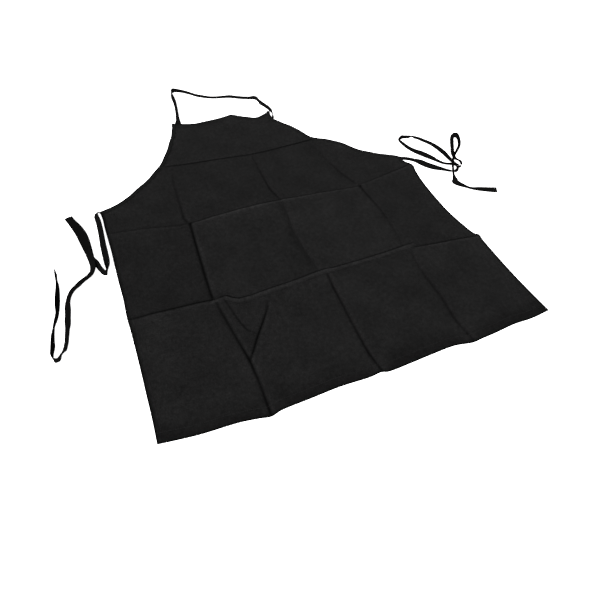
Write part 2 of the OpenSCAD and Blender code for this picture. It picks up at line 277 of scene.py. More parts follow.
# ------------------------------------------------------------------------------------------------ tapes and cords
# Route points are [x, y, lift, bank, width], as in part.scad: lift is the tape's lowest edge and bank its turn.
TAPE_W, TAPE_T = 15.0, 1.0
STRAP_ROUTE = [
    [-132, 1, 0, -14], [-131, 7, 0, -44], [-129.5, 14, 0, -54], [-125.5, 36.5, 0, -59], [-121.7, 60.5, 0, -64], [-118.6, 85.6, 0, -66],
    [-117.7, 106.3, 0, -70], [-118, 125.2, 0, -75], [-116.8, 140, 0, -86], [-110.9, 152.1, 0, -77], [-104.1, 154, 0, -66], [-97, 150.8, 0, -62],
    [-87.6, 145.4, 0, -59], [-76.6, 135.9, 0, -58], [-66, 124.9, 0, -57], [-55.4, 113.9, 0, -56], [-41.7, 105.1, 0, -54], [-25.3, 96.4, 0, -50],
    [-5.2, 91, 0, -51], [13.3, 89.1, 0, -53], [26.2, 86.5, 0, -56], [40.5, 79.4, 0, -56], [57.5, 71.9, 0, -54], [75.2, 66.5, 0, -55],
    [87.7, 62.1, 0, -65], [92.1, 53.9, 0, -78], [92.6, 37.7, 0, -83], [96.5, 23.8, 0, -78], [98, 26, 0, -40], [97, 17, 0, -18], [95, 9, 0, -6],
    [95, 1, 0, 0]]
LEFT_ROUTE = [
    [4, 5, 0, 0, 5], [-0.5, 8.3, 0, 12, 8], [-5, 7.6, 0, 32, 11], [-8.3, 2, 0, 48, 14], [-9, -10, 0, 54], [-7.6, -24, 0, 45], [-7.3, -41, 0, 41],
    [-7.6, -65, 0, 40], [-8.4, -90, 0, 38], [-8.2, -115, 0, 37], [-8, -134, 0, 40], [-8, -149, 0, 52], [-9, -159, 0, 66], [-13, -166, 0, 84],
    [-17.5, -161, 0, 108], [-22, -148, 0, 117], [-25, -138, 0, 118], [-29, -130, 0, 117], [-31.5, -121, 0, 120], [-34, -109, 0, 132],
    [-36, -98, 0, 148], [-38, -83, 0, 170], [-41, -65, 0, 180], [-45, -42, 0, 180], [-51, -19, 0, 180], [-56, -2, 0, 180], [-60, 11, 0, 180],
    [-60.5, 12.5, 0.95, 180], [-59.9, 10.7, 1.9, 180], [-55.5, -2, 1.9, 180], [-48, -19, 1.9, 180], [-40.5, -42, 1.9, 180], [-37, -65, 1.9, 180],
    [-35.5, -88, 2.4, 186], [-34, -109, 2.9, 203], [-32.7, -123, 1.8, 217], [-32.3, -136, 0.6, 222], [-33.5, -147, 0, 216], [-40, -158, 0, 203],
    [-48, -164, 0, 200], [-55, -169, 0, 200], [-63, -177, 0, 200], [-70, -184, 0, 204], [-75, -193, 0, 212], [-79, -204, 0, 219], [-82, -217, 0, 220],
    [-83, -232, 0, 217], [-85, -249, 0, 217], [-86, -264, 0, 221], [-88, -276, 0, 227], [-90, -290, 0, 229], [-93, -303, 0, 225], [-97, -313, 0, 221],
    [-100.5, -320, 0, 258], [-106, -326, 0, 256], [-111, -324, 0, 270], [-113, -317, 0, 268], [-112, -306, 0, 267], [-110, -294, 0, 260],
    [-109, -281, 0, 267], [-107, -268, 0, 276], [-105, -255, 0, 280], [-100, -238, 0, 272], [-98, -221, 0, 258], [-96, -202, 0, 253],
    [-94, -184, 0, 260], [-93, -164, 0, 265], [-94, -150, 0, 269], [-93, -137, 0, 272]]
RIGHT_ROUTE = [
    [0, 0, 0, 0, 5], [6, -1, 0, 0, 8], [12, -6, 0, 8, 12], [18.1, -17.1, 0, 24], [23.5, -26.4, 0, 24], [29.8, -34.2, 0, 24], [38.9, -42.1, 0, 20],
    [49.9, -47.7, 0, 6], [58.8, -55.4, 0, -8], [67.5, -63.4, 0, -12], [72.7, -68.9, 0, -20], [75.6, -73.4, 0, -74], [83.3, -68.1, 0, -115],
    [90.9, -58, 0, -151], [93.5, -46.9, 0, -169], [87.9, -41.6, 0, -168], [78.8, -38, 0, -166], [70.9, -32.7, 0, -168], [65.3, -24, 0, -171],
    [60.7, -13.8, 0, -176], [55.1, -4.4, 0, -189], [47.1, 6.1, 0, -197], [38.3, 19.6, 0, -198], [30.5, 34.2, 0, -188], [25.1, 48.6, 0, -179],
    [20.3, 62.8, 0, -172], [17.8, 76.2, 0, -166], [16.8, 83.7, 0, -148], [19.7, 86.6, 0, -88], [28.4, 88.8, 0, -64], [37.8, 87.5, 0, -60],
    [48.4, 85.3, 0, -53], [59.8, 90.8, 0, -3], [70.9, 81, 0, -5], [77.2, 71.7, 0, -2], [84.9, 60.2, 0, -1], [91.4, 47, 0, 1], [95.1, 30.2, 0, 5],
    [97.5, 11.5, 0, 6], [98.6, -2.7, 0, -1], [95.2, -20.5, 1.2, -10], [93.2, -33.6, 2.6, -13], [93.3, -44, 3.2, -15], [95.9, -50.5, 3, -13],
    [96.1, -59.2, 1.6, -51], [100.5, -59.7, 0.5, -92], [105.6, -53.5, 0, -102], [107.7, -44.7, 0, -122], [111.8, -32, 0, -167], [110.5, -23, 0, -162],
    [113.4, -9, 0, -151], [121.7, 5.8, 0, -143], [135.5, 27.5, 0, -148], [148.7, 47.1, 0, -146], [156.9, 56.9, 0, -128], [162.5, 59.4, 0, -98],
    [167.6, 57.9, 0, -86], [167.3, 50.3, 0, -87], [162.1, 38.8, 0, -95], [152.3, 22.4, 0, -104], [142.1, 10.5, 0, -119], [125.6, -5.3, 4.2, -124],
    [108.8, -20.8, 6.8, -118], [94.2, -35.1, 7.6, -109], [82.2, -49.3, 7.2, -98], [73.9, -61.9, 6, -89], [66.8, -74.4, 4.2, -86], [61.2, -85, 2, -86],
    [56.5, -93.9, 0, -90], [51.6, -104.5, 0, -114], [55.5, -109, 0, -160], [61.3, -115.7, 0, -174], [66.2, -122.6, 0, -185], [70.9, -131.1, 0, -194],
    [76.4, -136.8, 0, -195], [83.7, -140.5, 0, -190], [96, -143.7, 0, -180], [107.6, -150.1, 0, -173], [118.7, -155.6, 0, -168],
    [130.3, -160.6, 0, -166]]


def frames(route):
    """Each route point's middle, run, width direction and face direction, as the tape in part.scad has them."""
    r = np.array([list(q) + [TAPE_W] * (5 - len(q)) for q in route], float)
    bank = np.radians(r[:, 3])
    mid = r[:, :3].copy()
    mid[:, 2] += r[:, 4] / 2 * abs(np.sin(bank)) + TAPE_T / 2 * abs(np.cos(bank))
    n, last, out = len(r), None, []
    for i in range(n):
        d = mid[min(i + 1, n - 1)] - mid[max(i - 1, 0)]
        a = unit(np.array([-d[1], d[0], 0]))
        if last is not None and a @ last < 0:
            a = -a
        last = a
        run = unit(d)
        up = unit(np.cross(run, a))
        w = a * math.cos(bank[i]) + up * math.sin(bank[i])
        out.append((mid[i], run, w, unit(np.cross(run, w)), r[i, 4]))
    return [np.array(x) for x in zip(*out)]


def bend(p, at, tangents):
    """Points on a smooth curve through p at the fractional places in at."""
    i = np.clip(at.astype(int), 0, len(p) - 2)
    t = (at - i)[:, None]
    h = np.linalg.norm(p[1:] - p[:-1], axis=1)[i][:, None]
    a, b, ta, tb = p[i], p[i + 1], tangents[i] * h, tangents[i + 1] * h
    return (2 * t**3 - 3 * t**2 + 1) * a + (t**3 - 2 * t**2 + t) * ta + (3 * t**2 - 2 * t**3) * b + (t**3 - t**2) * tb


def tape_piece(name, route, origin, before=(), after=(), seed=1):
    """A woven tape along a route. before and after are extra middles with their width directions, under the cloth."""
    mid, run, wide, face, width = frames(route)
    mid = mid + np.array([origin[0], origin[1], 0.0])
    if before:
        mid = np.vstack([[b[0] for b in before], mid])
        wide = np.vstack([[b[1] for b in before], wide])
        width = np.concatenate([[b[2] for b in before], width])
    if after:
        mid = np.vstack([mid, [b[0] for b in after]])
        wide = np.vstack([wide, [b[1] for b in after]])
        width = np.concatenate([width, [b[2] for b in after]])
    n = len(mid)
    gap = np.linalg.norm(mid[1:] - mid[:-1], axis=1)
    # tangents weigh the nearer neighbour more, which keeps tight turns round
    tangent = np.zeros_like(mid)
    for i in range(n):
        if i == 0:
            tangent[i] = unit(mid[1] - mid[0])
        elif i == n - 1:
            tangent[i] = unit(mid[-1] - mid[-2])
        else:
            tangent[i] = unit(unit(mid[i] - mid[i - 1]) * gap[i] + unit(mid[i + 1] - mid[i]) * gap[i - 1])
    at = []
    for i in range(n - 1):
        k = max(1, int(round(gap[i] / 2.2)))
        at += [i + j / k for j in range(k)]
    at = np.array(at + [n - 1.0])
    p = bend(mid, at, tangent)
    i = np.clip(at.astype(int), 0, n - 2)
    t = (at - i)[:, None]
    w = unit(wide[i] * (1 - t) + wide[i + 1] * t)
    half = (width[i] * (1 - t[:, 0]) + width[i + 1] * t[:, 0]) / 2
    d = np.zeros_like(p)
    d[1:-1] = p[2:] - p[:-2]
    d[0], d[-1] = p[1] - p[0], p[-1] - p[-2]
    d = unit(d)
    f = unit(np.cross(d, w))
    s = np.concatenate([[0], np.cumsum(np.linalg.norm(p[1:] - p[:-1], axis=1))])
    # selvedges stand a little thicker than the middle, and the width breathes slightly
    loc = random.Random(seed)
    ph = [loc.uniform(0, 6.28) for _ in range(6)]
    breathe = 0.985 + 0.012 * np.sin(s / 31 + ph[0]) + 0.008 * np.sin(s / 11 + ph[1])
    cup = 0.25 * np.sin(s / 47 + ph[2]) + 0.12 * np.sin(s / 17 + ph[3])
    profile = [(1.0, 0.0), (0.985, 0.42), (0.93, 0.50), (0.85, 0.40), (0.5, 0.36), (0.0, 0.36), (-0.5, 0.36), (-0.85, 0.40), (-0.93, 0.50), (-0.985, 0.42),
               (-1.0, 0.0), (-0.985, -0.42), (-0.93, -0.50), (-0.85, -0.40), (-0.5, -0.36), (0.0, -0.36), (0.5, -0.36), (0.85, -0.40), (0.93, -0.50), (0.985, -0.42)]
    rings = np.zeros((len(p), len(profile), 3))
    uv = np.zeros((len(p), len(profile), 2))
    ends = np.minimum(smooth_step(0, 12, s), smooth_step(0, 12, s[-1] - s))
    for j, (a, b) in enumerate(profile):
        lift = cup * (1 - 2 * abs(a)) * 0.35 * ends
        rings[:, j] = p + w * (a * half * breathe)[:, None] + f * (b * 0.94 * TAPE_T + lift)[:, None]
        uv[:, j, 0] = s / 1000
        uv[:, j, 1] = a * half / 1000 + (0.02 if b < 0 else 0)
    rings[..., 2] = np.maximum(rings[..., 2], 0.03)
    obj = make(name, rings.reshape(-1, 3), tube(rings), TAPE, uv.reshape(-1, 2))
    return obj, p, s, (p[-1], d[-1], w[-1], f[-1])


# ------------------------------------------------------------------------------------------------ outline of the cloth
# Edge points as seen on the floor from the camera, each with its height, taken round the cloth anticlockwise.
SIDE_L = [(-354, 117, 2.0), (-352, 92, 2.0), (-352, 68, 2.2), (-351, 32, 2.2), (-350, -2, 2.0), (-350, -39, 2.0), (-350, -78, 2.0), (-349, -126, 2.0),
          (-350, -169, 2.6), (-349, -194, 2.4), (-348, -256, 2.0), (-348, -315, 2.0), (-348, -363, 2.0), (-349, -401, 2.2)]
BOTTOM = [(-349, -401, 2.2), (-321, -404.5, 2.0), (-291, -407.5, 2.0), (-234, -409.5, 2.0), (-205, -413.5, 2.2), (-188, -416.5, 2.6), (-172, -412.5, 2.2), (-124, -409.5, 2.0),
          (-72, -406.5, 2.2), (-21, -407.5, 2.2), (1, -405.5, 3.0), (11, -408.5, 2.4), (60, -406.5, 2.0), (90, -404.5, 2.0), (142, -402.5, 2.0), (174, -407.5, 2.4), (181, -407.5, 3.0),
          (191, -406.5, 2.4), (231, -403.5, 2.0), (270, -399.5, 2.0), (310, -399.5, 2.2), (352, -395, 2.6)]
SIDE_R = [(352, -395, 2.6), (349, -340, 2.0), (348, -292, 2.0), (349, -239, 2.2), (351, -197, 2.6), (353, -182, 3.2), (346, -176, 2.6), (338, -142, 2.0), (333, -95, 2.0),
          (333, -52, 2.0), (336, 6, 2.0), (343, 51, 2.4), (349, 73, 3.4), (346, 84, 2.8), (340, 91, 2.4), (336, 99, 2.2)]
ARM_R = [(336, 99, 2.2), (337, 110, 2.2), (331, 120, 2.3), (316, 129, 2.4), (293, 141, 2.4), (275, 154, 2.6), (255, 169, 2.8), (246, 180, 3.0), (238, 192, 3.6), (230, 205, 4.4),
         (219, 217, 5.4), (208, 226, 5.0), (192, 238, 4.0), (175, 246, 3.0), (161, 258, 2.6), (148, 289, 2.6), (133, 318, 2.6), (121, 333, 2.8), (113, 346, 3.2), (105, 358, 4.4),
         (102, 371, 5.6), (103, 386, 6.9), (107, 400, 8.0)]
TOP = [(107, 400, 8.0), (92, 392, 6.2), (80, 385, 4.4), (67, 379, 3.0), (56, 380, 2.4), (46, 385, 3.0), (25, 397, 5.6), (5, 409, 8.0), (-3, 407, 7.6), (-20, 402, 5.6),
       (-39, 398, 4.4), (-68, 394, 2.8), (-88, 391, 2.2), (-106, 393, 2.2), (-131, 400, 3.2), (-147, 404, 4.2)]
ARM_L = [(-147, 404, 4.2), (-149, 388, 3.2), (-154, 371, 2.6), (-160, 349, 2.4), (-169, 328, 2.4), (-181, 297, 2.4), (-195, 268, 2.4), (-208, 243, 2.6), (-227.5, 218, 2.4),
         (-247.5, 193, 2.4), (-270.5, 172, 2.4), (-294, 149, 2.4), (-323, 129, 2.2), (-354, 117, 2.0)]


def true_place(p):
    """Where a point at its height really lies, from where it is seen against the floor."""
    p = np.asarray(p, float)
    k = p[..., 2:3] / CAM[2]
    return np.concatenate([p[..., :2] - k * (p[..., :2] - CAM[:2]), p[..., 2:3]], -1)


def chain(points, step=3.0, seen=True):
    """A smooth line through the points, at even steps."""
    q = true_place(points) if seen else np.asarray(points, float)
    ext = np.vstack([2 * q[0] - q[1], q, 2 * q[-1] - q[-2]])
    fine = []
    for i in range(1, len(ext) - 2):
        a, b, c, d = ext[i - 1 : i + 3]
        # centripetal Catmull-Rom, which makes no loops where points are unevenly spaced
        t0, t1 = 0.0, max(np.linalg.norm(b - a) ** 0.5, 1e-6)
        t2 = t1 + max(np.linalg.norm(c - b) ** 0.5, 1e-6)
        t3 = t2 + max(np.linalg.norm(d - c) ** 0.5, 1e-6)
        for t in np.linspace(t1, t2, 14, endpoint=False):
            a1 = (t1 - t) / (t1 - t0) * a + (t - t0) / (t1 - t0) * b
            a2 = (t2 - t) / (t2 - t1) * b + (t - t1) / (t2 - t1) * c
            a3 = (t3 - t) / (t3 - t2) * c + (t - t2) / (t3 - t2) * d
            b1 = (t2 - t) / (t2 - t0) * a1 + (t - t0) / (t2 - t0) * a2
            b2 = (t3 - t) / (t3 - t1) * a2 + (t - t1) / (t3 - t1) * a3
            fine.append((t2 - t) / (t2 - t1) * b1 + (t - t1) / (t2 - t1) * b2)
    fine = np.array(fine + [q[-1]])
    s = np.concatenate([[0], np.cumsum(np.linalg.norm(np.diff(fine[:, :2], axis=0), axis=1))])
    k = max(2, int(round(s[-1] / step)))
    at = np.linspace(0, s[-1], k + 1)
    return np.stack([np.interp(at, s, fine[:, c]) for c in range(3)], 1)


EDGES = {n: chain(c) for n, c in (("side_l", SIDE_L), ("bottom", BOTTOM), ("side_r", SIDE_R), ("arm_r", ARM_R), ("top", TOP), ("arm_l", ARM_L))}
loop = np.vstack([EDGES[n][:-1] for n in ("side_l", "bottom", "side_r", "arm_r", "top", "arm_l")])
HEM_W = {"side_l": 10.0, "bottom": 18.0, "side_r": 10.0, "arm_r": 8.0, "top": 25.0, "arm_l": 8.0}


def inward(line, closed=False):
    """Unit normals of an anticlockwise line, pointing into the cloth."""
    if closed:
        d = np.roll(line[:, :2], -1, 0) - np.roll(line[:, :2], 1, 0)
    else:
        d = np.gradient(line[:, :2], axis=0)
    d = unit(d)
    return np.stack([-d[:, 1], d[:, 0]], 1)


# ------------------------------------------------------------------------------------------------ height of the cloth
def nearest(points, line):
    """For each point: signed distance from a line (left of its run positive), and the fractional place along it."""
    best = np.full(len(points), 1e9)
    signed = np.zeros(len(points))
    place_ = np.zeros(len(points))
    for i in range(len(line) - 1):
        a, b = line[i, :2], line[i + 1, :2]
        ab = b - a
        rel = points - a
        t = np.clip(rel @ ab / (ab @ ab), 0, 1)
        off = rel - t[:, None] * ab
        dist = np.sqrt((off**2).sum(1))
        side = ab[0] * rel[:, 1] - ab[1] * rel[:, 0]
        new = dist < best
        best = np.where(new, dist, best)
        signed = np.where(new, np.where(side >= 0, dist, -dist), signed)
        place_ = np.where(new, i + t, place_)
    return signed, place_


def line_of(points, z):
    """A crease line from places as seen on the floor, at that height."""
    return true_place([(x, y, z) for x, y in points])[:, :2]


MOUNTAIN = [(-26, 0.0), (-14, 0.16), (-7, 0.42), (-3, 0.72), (-1.2, 0.9), (0, 1.0), (0.9, 0.82), (2.2, 0.5), (4.5, 0.22), (9, 0.07), (18, 0.0)]
SOFT_MOUNTAIN = [(-40, 0.0), (-24, 0.14), (-12, 0.42), (-5, 0.78), (-1.5, 0.97), (0, 1.0), (1.5, 0.96), (5, 0.74), (12, 0.4), (24, 0.13), (40, 0.0)]
VALLEY = [(-26, 0.0), (-13, 0.16), (-6, 0.22), (-2.6, 0.0), (-1.0, -0.6), (0, -0.9), (1.0, -0.55), (2.6, 0.05), (6, 0.28), (13, 0.18), (26, 0.0)]
# the standing pleat: groove behind it, a crest, a narrow front and a second thin groove
PLEAT = [(-46, 0.0), (-25, 0.09), (-13, 0.18), (-10.4, 0.16), (-9.2, 0.02), (-8.5, -0.16), (-7.8, 0.02), (-6.6, 0.2), (-4.2, 0.58), (-2.6, 0.9), (-1.6, 1.0), (-0.8, 0.86),
         (-0.2, 0.3), (0.4, -0.5), (1.1, -0.85), (1.9, -0.62), (3.2, -0.24), (6, -0.08), (12, 0.0)]
# a step where one side drops sharply to a valley and the other rises to a soft ridge
STEP = [(-34, 0.0), (-18, -0.12), (-8, -0.34), (-3, -0.72), (-1, -1.0), (0, -1.0), (0.9, -0.62), (2.2, 0.0), (4.5, 0.42), (8, 0.5), (16, 0.26), (34, 0.0)]

# name, line seen from the camera, its height, profile, amplitude at each point
CREASES = [
    ("h1", [(-201, 230), (-166, 228), (-100, 227), (-50, 225), (-2, 223), (60, 230), (110, 236), (158, 243)], 1.3, VALLEY,
     [0.8, 1.3, 1.3, 1.2, 1.2, 1.4, 1.5, 1.4]),
    ("h2l", [(-349, 47), (-300, 41), (-250, 34), (-215, 28), (-200, 31)], 3.0, SOFT_MOUNTAIN, [0.9, 0.9, 1.0, 1.2, 0.6]),
    ("h2", [(-192, 31), (-150, 36), (-100, 41), (-50, 45), (6, 47), (60, 45), (120, 42), (184, 41)], 5.6, MOUNTAIN, [1.5, 2.9, 3.1, 2.9, 2.4, 1.9, 1.6, 1.0]),
    ("h2r", [(192, 42), (240, 53), (290, 66), (348, 80)], 4.0, MOUNTAIN, [0.9, 1.5, 1.8, 1.9]),
    ("h3l", [(-349, -174), (-300, -174), (-250, -175), (-207, -176)], 3.6, MOUNTAIN, [1.6, 2.2, 2.5, 2.6]),
    ("h3", [(-207, -176), (-195, -175), (-184, -172), (-174, -180), (-164, -186), (-140, -186), (-100, -182), (-50, -177), (-10, -171), (8, -170), (24, -172), (80, -169),
            (140, -165), (180, -161), (206, -158)], 5.2, PLEAT, [1.4, 2.4, 3.0, 2.6, 2.6, 3.0, 3.3, 3.4, 3.6, 3.6, 3.3, 3.1, 2.9, 2.6, 1.2]),
    ("h3r", [(204, -174), (250, -178), (300, -182), (349, -186)], 4.0, MOUNTAIN, [1.2, 2.0, 2.2, 2.2]),
    ("v1a", [(-188, 215), (-196, 171), (-200, 100), (-203, 50), (-199, 37)], 2.4, VALLEY, [0.2, 0.5, 0.8, 1.1, 1.3]),
    ("v1b", [(-195, 30), (-199, -20), (-202, -70), (-205, -120), (-207, -170)], 2.6, STEP, [1.5, 1.7, 1.6, 1.6, 1.5]),
    ("v1c", [(-189, 4), (-186, -50), (-184, -110), (-182, -160)], 3.8, SOFT_MOUNTAIN, [0.15, 0.45, 0.5, 0.3]),
    ("v1d", [(-203, -186), (-199, -222), (-193, -270), (-187, -314), (-186, -360), (-188, -412)], 2.4, STEP, [0.8, 1.1, 1.1, 1.4, 1.1, 1.3]),
    ("v2a", [(-3, 396), (-6, 360), (-8, 320), (-3, 270), (-2, 228)], 5.0, SOFT_MOUNTAIN, [1.2, 1.3, 0.9, 0.6, 0.4]),
    ("v2b", [(-2, 218), (-5, 150), (-6, 88), (2, 52)], 3.0, STEP, [0.4, 0.7, 1.1, 0.8]),
    ("v2c", [(5, 38), (0, -10), (-7, -56), (-6, -110), (-4, -158)], 3.4, STEP, [0.7, 1.0, 1.0, 1.0, 1.0]),
    ("v2d", [(8, -185), (5, -215), (4, -247), (1, -300), (-1, -363), (3, -404)], 3.2, STEP, [0.8, 1.1, 1.0, 0.9, 1.2, 1.0]),
    ("v3a", [(150, 222), (160, 160), (169, 100), (184, 52)], 3.0, STEP, [0.3, 0.5, 0.9, 1.1]),
    ("v3b", [(190, 38), (193, 0), (195, -40), (195, -71), (190, -130), (184, -158)], 3.4, MOUNTAIN, [1.6, 1.4, 1.1, 0.8, 0.5, 0.5]),
    ("v3c", [(190, -178), (183, -215), (182, -260), (182, -301), (176, -354), (181, -405)], 3.2, STEP, [0.5, 0.6, 0.9, 1.0, 1.0, 1.0]),
    ("pucker_a", [(-120, -208), (-124, -222), (-140, -246), (-160, -274), (-178, -302), (-188, -316)], 2.6, STEP, [0.3, 1.2, 1.6, 1.7, 1.6, 0.8]),
    ("pucker_b", [(-186, -184), (-181, -214), (-176, -240), (-170, -256), (-160, -264)], 3.4, SOFT_MOUNTAIN, [0.5, 0.7, 0.8, 0.7, 0.3]),
]
# creases whose two sides are the other way round
SWAPPED = {"v3b"}

# how high the cloth lies between its creases, over the whole sheet
GRID_X = [-360, -290, -205, -190, -100, 0, 100, 190, 270, 360]
GRID_Y = [-420, -330, -240, -190, -168, -90, -10, 44, 120, 215, 232, 320, 410]
GRID_Z = [
    [0.9, 0.8, 1.6, 1.4, 0.9, 1.4, 0.8, 1.4, 0.8, 1.0],
    [1.0, 1.9, 1.5, 1.5, 2.3, 1.5, 2.2, 1.5, 2.0, 1.0],
    [1.2, 2.5, 1.6, 1.6, 2.9, 1.8, 2.9, 1.9, 2.6, 1.2],
    [1.6, 2.9, 2.2, 2.4, 3.4, 3.2, 3.4, 2.9, 3.0, 1.9],
    [1.5, 2.3, 1.4, 1.9, 1.9, 2.1, 1.9, 2.0, 2.2, 1.8],
    [1.1, 1.9, 1.1, 2.2, 2.7, 1.7, 3.0, 2.6, 2.0, 1.1],
    [1.0, 1.7, 1.2, 2.7, 3.2, 2.2, 3.5, 3.0, 2.0, 1.1],
    [1.5, 2.0, 1.9, 2.9, 3.4, 3.1, 3.5, 3.1, 2.4, 1.8],
    [1.0, 1.9, 1.6, 1.9, 2.8, 1.9, 2.6, 1.9, 2.1, 1.2],
    [0.9, 1.4, 1.5, 1.7, 1.9, 1.8, 1.9, 1.9, 2.2, 1.6],
    [0.9, 1.4, 1.5, 1.7, 1.9, 1.8, 1.9, 2.0, 2.2, 1.6],
    [0.9, 1.2, 1.3, 1.4, 2.0, 2.7, 2.1, 1.6, 1.4, 1.2],
    [0.9, 1.2, 1.3, 1.6, 1.4, 4.2, 1.8, 2.6, 1.4, 1.2],
]


def table(x, y, gx, gy, gz):
    """Smooth look-up in a grid of values."""
    gx, gy, gz = (np.asarray(a, float) for a in (gx, gy, gz))
    i = np.clip(np.searchsorted(gx, x) - 1, 0, len(gx) - 2)
    j = np.clip(np.searchsorted(gy, y) - 1, 0, len(gy) - 2)
    u = np.clip((x - gx[i]) / (gx[i + 1] - gx[i]), 0, 1)
    v = np.clip((y - gy[j]) / (gy[j + 1] - gy[j]), 0, 1)
    u, v = u * 0.4 + 0.6 * u * u * (3 - 2 * u), v * 0.4 + 0.6 * v * v * (3 - 2 * v)
    return (gz[j, i] * (1 - u) + gz[j, i + 1] * u) * (1 - v) + (gz[j + 1, i] * (1 - u) + gz[j + 1, i + 1] * u) * v


WAVES = []
for _ in range(26):
    lam = rng.uniform(55, 170)
    WAVES.append((lam, rng.uniform(0, math.pi), rng.uniform(0, 2 * math.pi), 0.0011 * lam * rng.uniform(0.5, 1.0)))
for _ in range(40):
    lam = rng.uniform(14, 38)
    WAVES.append((lam, rng.uniform(0, math.pi), rng.uniform(0, 2 * math.pi), 0.0011 * lam * rng.uniform(0.5, 1.0)))

LINES = {}
for name, pts, z, profile, amps in CREASES:
    LINES[name] = (line_of(pts, z), np.array(profile), np.array(amps, float))


def crease_values(xy, name):
    line, profile, amps = LINES[name]
    d, at = nearest(xy, line)
    if name in SWAPPED:
        d = -d
    a = np.interp(at, np.arange(len(amps)), amps)
    return d, at, a * np.interp(d, profile[:, 0], profile[:, 1])


edge_tree = KDTree(len(loop))
for i, p in enumerate(loop):
    edge_tree.insert((p[0], p[1], 0), i)
edge_tree.balance()
edge_width = np.concatenate([np.full(len(EDGES[n]) - 1, HEM_W[n]) for n in ("side_l", "bottom", "side_r", "arm_r", "top", "arm_l")])


def shape_without_edges(xy):
    x, y = xy[:, 0], xy[:, 1]
    z = table(x, y, GRID_X, GRID_Y, GRID_Z)
    for lam, ang, ph, amp in WAVES:
        z = z + amp * np.sin(2 * math.pi * (x * math.cos(ang) + y * math.sin(ang)) / lam + ph)
    for name in LINES:
        z = z + crease_values(xy, name)[2]
    return z


loop_base = shape_without_edges(loop[:, :2])
loop_gap = loop[:, 2] - loop_base


def height(xy):
    """Height of the cloth's upper face, in millimetres."""
    xy = np.asarray(xy, float)
    z = shape_without_edges(xy)
    dist = np.empty(len(xy))
    lift = np.empty(len(xy))
    hem = np.empty(len(xy))
    for k, (px, py) in enumerate(xy):
        near = edge_tree.find_n((px, py, 0), 7)
        d = np.array([n[2] for n in near])
        idx = [n[1] for n in near]
        w = 1 / (d + 1.0) ** 2
        dist[k] = d[0]
        lift[k] = (w * loop_gap[idx]).sum() / w.sum()
        hem[k] = (w * edge_width[idx]).sum() / w.sum()
    z = z + lift * np.exp(-((dist / 26.0) ** 1.3))
    # two turned layers lie under the cloth along the edges
    floor_ = 0.72 + 1.1 * (1 - smooth_step(hem - 1.5, hem + 3.0, dist))
    over = z - floor_
    soft = 0.5
    return floor_ + np.where(over > 20 * soft, over, soft * np.log1p(np.exp(np.clip(over / soft, -30, 30))))


def height_one(x, y):
    return float(height(np.array([[x, y]], float))[0])


# ------------------------------------------------------------------------------------------------ neck strap and ties
z_l = height_one(-132, 388)
z_r = height_one(92, 344)
side = np.array([-1.0, 0.0, 0.0])


def slant(bank):
    """Width direction of a tape that runs towards the hem, turned by bank."""
    b = math.radians(bank)
    return np.array([math.cos(b), 0.0, math.sin(b)])


strap, strap_mid, strap_s, _ = tape_piece(
    "neck_strap_tape", STRAP_ROUTE[:-5], (0, 400),
    before=[((-132, 386, z_l - 1.25), side, 15), ((-132, 392, z_l - 1.45), side, 15)],
    after=[((97.5, 424, 7.4), slant(-76), 15), ((101.5, 412, 7.4), slant(-76), 15), ((104.8, 401, 7.4), slant(-78), 15), ((107, 391, 7.3), slant(-80), 14.5), ((108, 381, 6.6), slant(-78), 13),
           ((106.5, 371, 4.6), slant(-66), 10), ((102, 361, 2.9), slant(-40), 8), ((96, 352, 1.7), slant(-12), 8.5), ((92, 344, z_r - 1.35), slant(0), 10)], seed=3)
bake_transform(strap)
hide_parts("neck_strap")
left_tie, left_mid, left_s, left_end = tape_piece("left_waist_tie_tape", LEFT_ROUTE, (-353, 104.5), seed=5)
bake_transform(left_tie)
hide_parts("left_waist_tie")
# the right tie leaves from under the binding, along the armhole's edge
lean = unit(np.array([0.55, 0.83, 0.0]))
right_tie, right_mid, right_s, right_end = tape_piece(
    "right_waist_tie_tape", RIGHT_ROUTE[3:], (353, 90.5),
    before=[((320, 115.5, 0.9), lean, 10), ((330, 110.5, 0.9), lean, 12), ((341.5, 104.5, 0.8), lean, 14), ((353, 98.4, 0.7), lean, 14), ((362.5, 90.2, 0.7), lean, 15)], seed=7)
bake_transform(right_tie)
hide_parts("right_waist_tie")


def end_hem(name, node, body, end):
    """The free end of a tie, turned over onto itself and stitched down."""
    p, run, w, f = end
    if f[2] < 0:
        f = -f
    prof = [(-9.6, 0.52), (-9.9, 0.80), (-9.6, 1.12), (-6, 1.16), (-2, 1.18), (0.3, 1.10), (0.95, 0.72), (1.1, 0.2), (0.95, -0.35), (0.45, -0.52), (0.22, -0.3), (0.2, 0.3), (0.0, 0.5), (-4, 0.5)]
    across = np.linspace(-6.9, 6.9, 9)
    rings = np.zeros((len(across), len(prof), 3))
    uv = np.zeros((len(across), len(prof), 2))
    for i, a in enumerate(across):
        pinch = 0.97 if i in (0, len(across) - 1) else 1.0
        for j, (r, h) in enumerate(prof):
            rings[i, j] = p + run * (r * pinch) + w * a + f * (h * (0.96 if pinch < 1 else 1.0) + 0.05 * math.sin(i * 1.9 + j))
            uv[i, j] = (r / 1000, a / 1000)
    rings[..., 2] = np.maximum(rings[..., 2], 0.02)
    obj = make(name, rings.reshape(-1, 3), tube(rings), TAPE, uv.reshape(-1, 2))
    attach(obj, body)
    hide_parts(node)
    return obj, (p, run, w, f)


left_hem, left_frame = end_hem("left_tie_end_fold", "left_tie_end_hem", "left_tie", left_end)
right_hem, right_frame = end_hem("right_tie_end_fold", "right_tie_end_hem", "right_tie", right_end)


